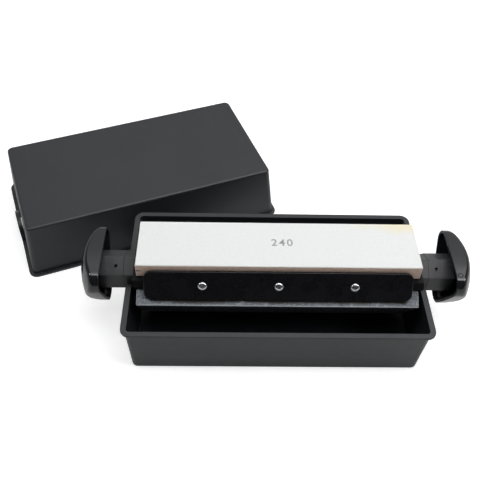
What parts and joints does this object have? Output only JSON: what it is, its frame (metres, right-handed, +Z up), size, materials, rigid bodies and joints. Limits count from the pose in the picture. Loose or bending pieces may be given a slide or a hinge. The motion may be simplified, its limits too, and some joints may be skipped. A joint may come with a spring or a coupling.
{
  "type": "three-sided sharpening stone set",
  "caption": "Turning cradle that clamps long sharpening stones round one axis over an oil tray, with hollow end handles and a lift-off cover set down beside it.",
  "frame": {"origin": "underside of the tray, under its middle", "axes": "+X along the stones to the right handle, +Y towards the cover, +Z up"},
  "size_m": [0.5544, 0.3976, 0.1121],
  "materials": {
    "charcoal_plastic": "satin moulded",
    "arm_plastic": "satin moulded",
    "core_plastic": "satin moulded",
    "black_gloss_plastic": "polished mould",
    "black_bar": "black satin paint",
    "white_stone": "fine grit, matt",
    "grey_stone": "coarse grit, matt",
    "brown_stone": "fine grit, matt",
    "chrome_steel": "bright plated",
    "zinc_steel": "zinc plated"
  },
  "bodies": {
    "tray": {"tray": "charcoal_plastic"},
    "cradle": {"cradle_core": "core_plastic", "stone_medium": "white_stone", "stone_coarse": "grey_stone", "stone_fine": "brown_stone", "left_arm": "arm_plastic", "right_arm": "arm_plastic", "left_handle": "black_gloss_plastic", "right_handle": "black_gloss_plastic", "left_handle_pin": "zinc_steel", "right_handle_pin": "zinc_steel", "left_rod_washer": "zinc_steel", "right_rod_washer": "zinc_steel", "left_rod_nut": "zinc_steel", "right_rod_nut": "zinc_steel", "tie_rod": "zinc_steel", "clamp_bar_front": "black_bar", "clamp_screw_front_left": "chrome_steel", "clamp_screw_front_middle": "chrome_steel", "clamp_screw_front_right": "chrome_steel", "clamp_bar_under": "black_bar", "clamp_screw_under_left": "chrome_steel", "clamp_screw_under_middle": "chrome_steel", "clamp_screw_under_right": "chrome_steel", "clamp_bar_back": "black_bar", "clamp_screw_back_left": "chrome_steel", "clamp_screw_back_middle": "chrome_steel", "clamp_screw_back_right": "chrome_steel"},
    "cover": {"cover": "charcoal_plastic"}
  },
  "joints": [
    {"name": "cradle_turn", "type": "hinge", "parent": "tray", "child": "cradle", "pos_m": [0, 0, 0.06904], "axis": [1, 0, 0], "continuous": true},
    {"name": "cover_lift", "type": "slide", "parent": "tray", "child": "cover", "axis": [0, 0, 1], "range_m": [0, 0.12]}
  ]
}
